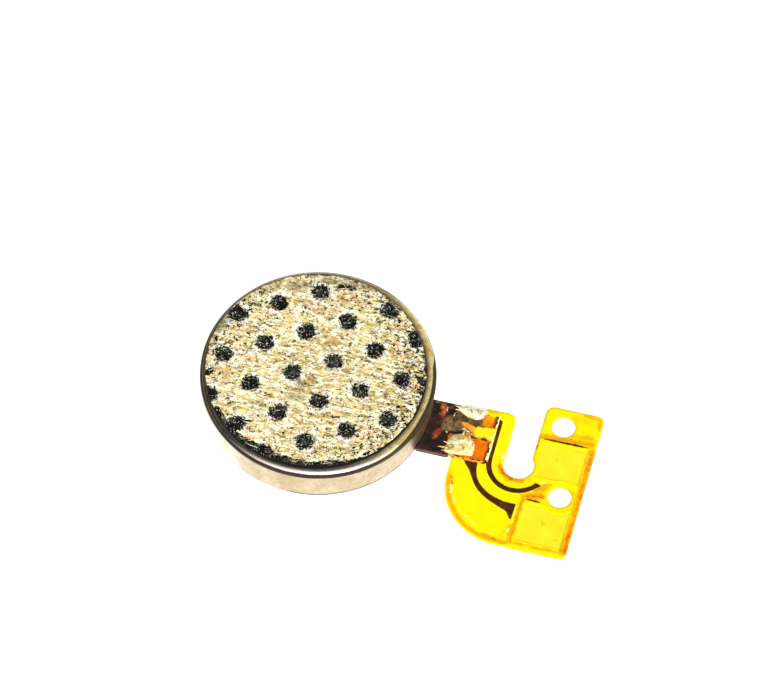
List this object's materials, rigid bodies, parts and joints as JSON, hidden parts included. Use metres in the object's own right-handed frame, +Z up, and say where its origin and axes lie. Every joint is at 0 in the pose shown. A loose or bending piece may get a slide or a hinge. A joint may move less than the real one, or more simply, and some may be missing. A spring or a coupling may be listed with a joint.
{
  "type": "coin vibration motor",
  "caption": "Flat round eccentric-rotor vibration motor with a textured conductive pad and a J-shaped flexible circuit that ends in bare contact pads.",
  "frame": {"origin": "on the shaft's axis, on the flat underside of the lower case", "axes": "+Z up along the shaft, out through the pad; +X along the flexible tail, from the motor out to the contact leg"},
  "size_m": [0.017, 0.0102, 0.0021],
  "materials": {
    "lid_steel": "bright nickel finish with a warm cast",
    "cup_steel": "satin nickel finish",
    "black_adhesive": "black pressure-sensitive adhesive",
    "pad_cloth": "metal-coated nonwoven cloth with pressed dimples",
    "shaft_steel": "ground",
    "washer_film": "smooth polyester",
    "magnet": "nickel-plated sintered magnet",
    "detent_steel": "rolled sheet",
    "polyimide_film": "amber polyimide film",
    "copper_land": "bare copper, slightly oxidised",
    "tail_coverlay": "dark amber coverlay over copper",
    "brush_alloy": "noble-metal brush alloy",
    "solder": "bright reflowed solder",
    "trace_copper": "copper under coverlay",
    "lead_coverlay": "yellow polyimide coverlay",
    "gold_contact": "flash gold plating",
    "stiffener_film": "amber polyimide stiffener",
    "bush_bronze": "oil-filled sintered bronze",
    "rotor_board": "glass-epoxy laminate",
    "coil_wire": "enamelled self-bonding wire",
    "heavy_alloy": "sintered tungsten alloy",
    "rotor_resin": "moulded liquid-crystal polymer"
  },
  "bodies": {
    "motor": {"upper_case": "lid_steel", "lower_case": "cup_steel", "pad_adhesive": "black_adhesive", "pad_cloth": "pad_cloth", "shaft": "shaft_steel", "lower_thrust_washer": "washer_film", "upper_thrust_washer": "washer_film", "ring_magnet": "magnet", "detent_plate": "detent_steel", "tail_flex_film": "polyimide_film", "tail_flex_copper": "copper_land", "tail_flex_coverlay": "tail_coverlay", "brush_far": "brush_alloy", "brush_near": "brush_alloy", "brush_solder": "solder", "solder_joint_far": "solder", "solder_joint_near": "solder", "lead_flex_film_arm": "polyimide_film", "lead_flex_traces": "trace_copper", "lead_flex_coverlay_arm": "lead_coverlay"},
    "rotor": {"bearing_bush": "bush_bronze", "rotor_board": "rotor_board", "commutator_segments": "gold_contact", "coil_left": "coil_wire", "coil_right": "coil_wire", "counterweight": "heavy_alloy", "coil_lead_joints": "solder", "rotor_moulding": "rotor_resin"},
    "contact_leg": {"lead_flex_film_leg": "polyimide_film", "contact_pad_upper": "gold_contact", "contact_pad_lower": "gold_contact", "lead_flex_coverlay_leg": "lead_coverlay", "leg_stiffener": "stiffener_film"}
  },
  "joints": [
    {"name": "rotor_spin", "type": "hinge", "parent": "motor", "child": "rotor", "pos_m": [0, 0, 0.00135], "axis": [0, 0, 1], "continuous": true},
    {"name": "leg_fold", "type": "hinge", "parent": "motor", "child": "contact_leg", "pos_m": [0.0092, -0.0036, 0.0001], "axis": [0, -1, 0], "range_deg": [0, 90], "stiffness_Nm_per_rad": 0.0004}
  ]
}
